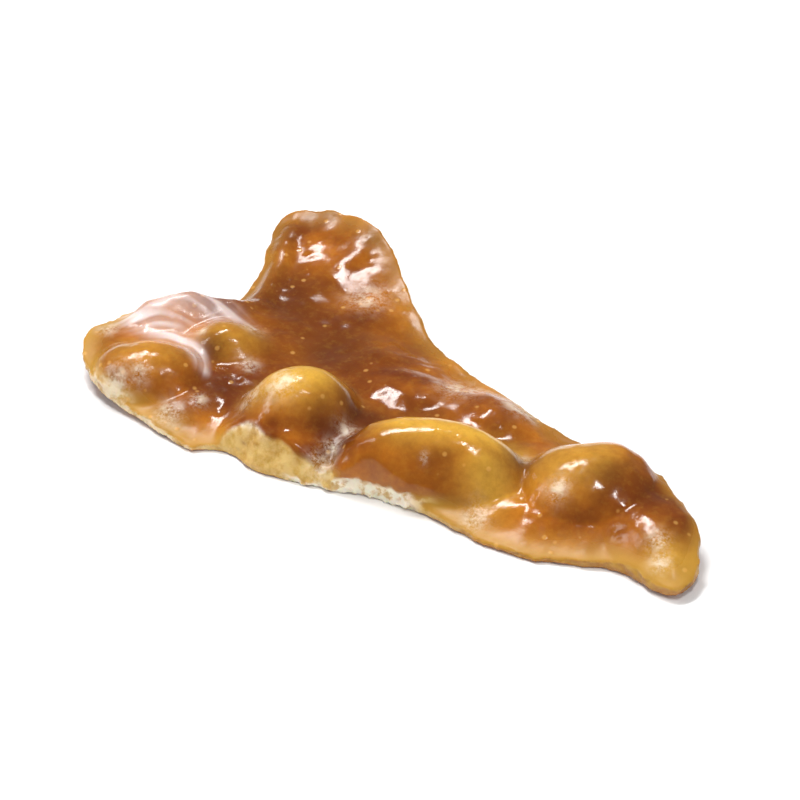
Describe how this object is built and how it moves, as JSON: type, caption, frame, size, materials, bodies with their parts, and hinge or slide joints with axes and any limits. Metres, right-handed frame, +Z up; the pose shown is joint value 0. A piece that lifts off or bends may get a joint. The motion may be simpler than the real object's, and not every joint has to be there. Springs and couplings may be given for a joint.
{
  "type": "shard of cashew brittle",
  "caption": "Broken shard of golden toffee brittle, a thin glossy sheet draped over whole coated cashew nuts.",
  "frame": {"origin": "bottom centre of the shard's box, on the surface it lies on", "axes": "+X along the shard's long side, from the broad lobe to the pointed tip; +Z up, out of the poured side; the broken front edge faces -Y"},
  "size_m": [0.1076, 0.0562, 0.0112],
  "materials": {
    "toffee": "glossy"
  },
  "bodies": {
    "root": {"brittle": "toffee"}
  },
  "joints": []
}
